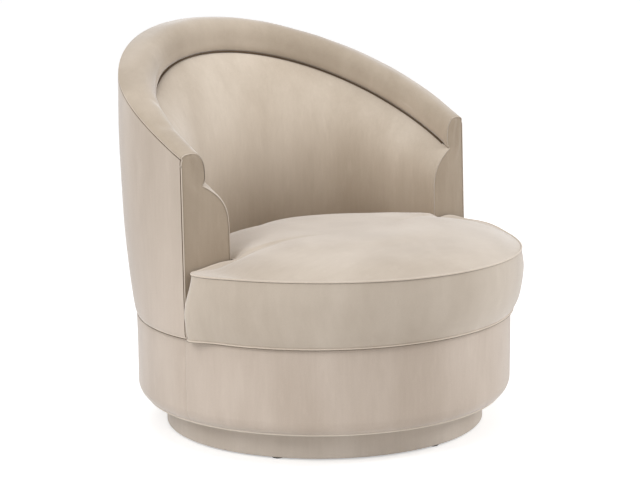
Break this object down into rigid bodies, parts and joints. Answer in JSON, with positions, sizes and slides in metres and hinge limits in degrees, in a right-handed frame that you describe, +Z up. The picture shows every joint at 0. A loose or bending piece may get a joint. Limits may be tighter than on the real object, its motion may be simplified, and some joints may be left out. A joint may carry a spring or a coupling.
{
  "type": "upholstered barrel swivel chair",
  "caption": "Low round lounge chair in velvet: curved back and arms in one shell, loose thick seat cushion, and a round plinth on which the seat turns freely.",
  "frame": {"origin": "on the floor, on the swivel axis, under the centre of the plinth", "axes": "+Z up along the swivel axis; the chair faces -Y; +X is toward the sitter's left arm"},
  "size_m": [0.852, 0.8568, 0.8418],
  "materials": {
    "velvet": "short-pile velvet with a soft nap",
    "lining": "plain woven lining cloth",
    "foam": "open-cell upholstery foam",
    "wadding": "soft polyester fibre",
    "felt": "needled felt",
    "webbing": "woven elastic strap",
    "hessian": "coarse jute cloth",
    "timber": "sawn softwood",
    "plywood": "bent and flat plywood",
    "plate_steel": "zinc-plated pressed sheet",
    "ball_steel": "hardened and polished",
    "screw_steel": "zinc-plated",
    "glide_plastic": "matte black, slightly worn",
    "cage_plastic": "natural moulded nylon",
    "zip_tape": "woven tape",
    "zip_metal": "dull nickel"
  },
  "bodies": {
    "plinth": {"floor_glides": "glide_plastic", "glide_nails": "screw_steel", "plinth_ring": "timber", "plinth_blocks": "timber", "plinth_board": "plywood", "plinth_hoop": "plywood", "plinth_padding": "foam", "plinth_cover": "velvet", "swivel_lower_plate": "plate_steel", "swivel_lower_screws": "screw_steel"},
    "ball_cage": {"bearing_cage": "cage_plastic", "bearing_balls": "ball_steel"},
    "seat_body": {"swivel_upper_plate": "plate_steel", "swivel_upper_screws": "screw_steel", "swivel_rivet": "plate_steel", "seat_base_board": "plywood", "dust_cover": "lining", "rail_posts": "timber", "rail_screws": "screw_steel", "rail_hoop": "plywood", "seat_ring": "plywood", "band_foam": "foam", "front_edge_foam": "foam", "band_cover_front": "velvet", "band_cover_rear": "velvet", "seat_webbing_long": "webbing", "seat_webbing_cross": "webbing", "deck_felt": "felt", "deck_foam": "foam", "deck_cloth": "lining", "back_posts_lower": "timber", "mid_rib": "plywood", "back_posts_upper": "timber", "top_rib": "plywood", "arm_front_boards": "timber", "post_screws": "screw_steel", "back_webbing": "webbing", "back_hessian": "hessian", "back_foam": "foam", "inner_back_cover": "velvet", "outer_back_panel": "plywood", "outer_wadding": "wadding", "outer_back_cover": "velvet", "rim_foam": "foam", "rim_cover": "velvet", "arm_front_foams": "foam", "arm_panel_left": "velvet", "arm_panel_right": "velvet"},
    "seat_cushion": {"cushion_foam": "foam", "cushion_wrap": "wadding", "cushion_top_cover": "velvet", "cushion_boxing": "velvet", "cushion_bottom_cover": "lining", "cushion_welt_top": "velvet", "cushion_welt_bottom": "velvet", "cushion_zip": "zip_tape"},
    "zip_slider": {"zip_slider": "zip_metal"}
  },
  "joints": [
    {"name": "seat_swivel", "type": "hinge", "parent": "plinth", "child": "seat_body", "pos_m": [0, 0, 0.059], "axis": [0, 0, 1], "continuous": true},
    {"name": "cage_turn", "type": "hinge", "parent": "plinth", "child": "ball_cage", "pos_m": [0, 0, 0.059], "axis": [0, 0, 1], "continuous": true},
    {"name": "cushion_lift", "type": "slide", "parent": "seat_body", "child": "seat_cushion", "axis": [0, 0, 1], "range_m": [0, 0.62]},
    {"name": "zip_run", "type": "hinge", "parent": "seat_cushion", "child": "zip_slider", "pos_m": [0, -0.023, 0.3136], "axis": [0, 0, -1], "range_deg": [0, 112.8]}
  ],
  "couplings": [
    {"joint": "cage_turn", "follows": "seat_swivel", "ratio": 0.5}
  ]
}
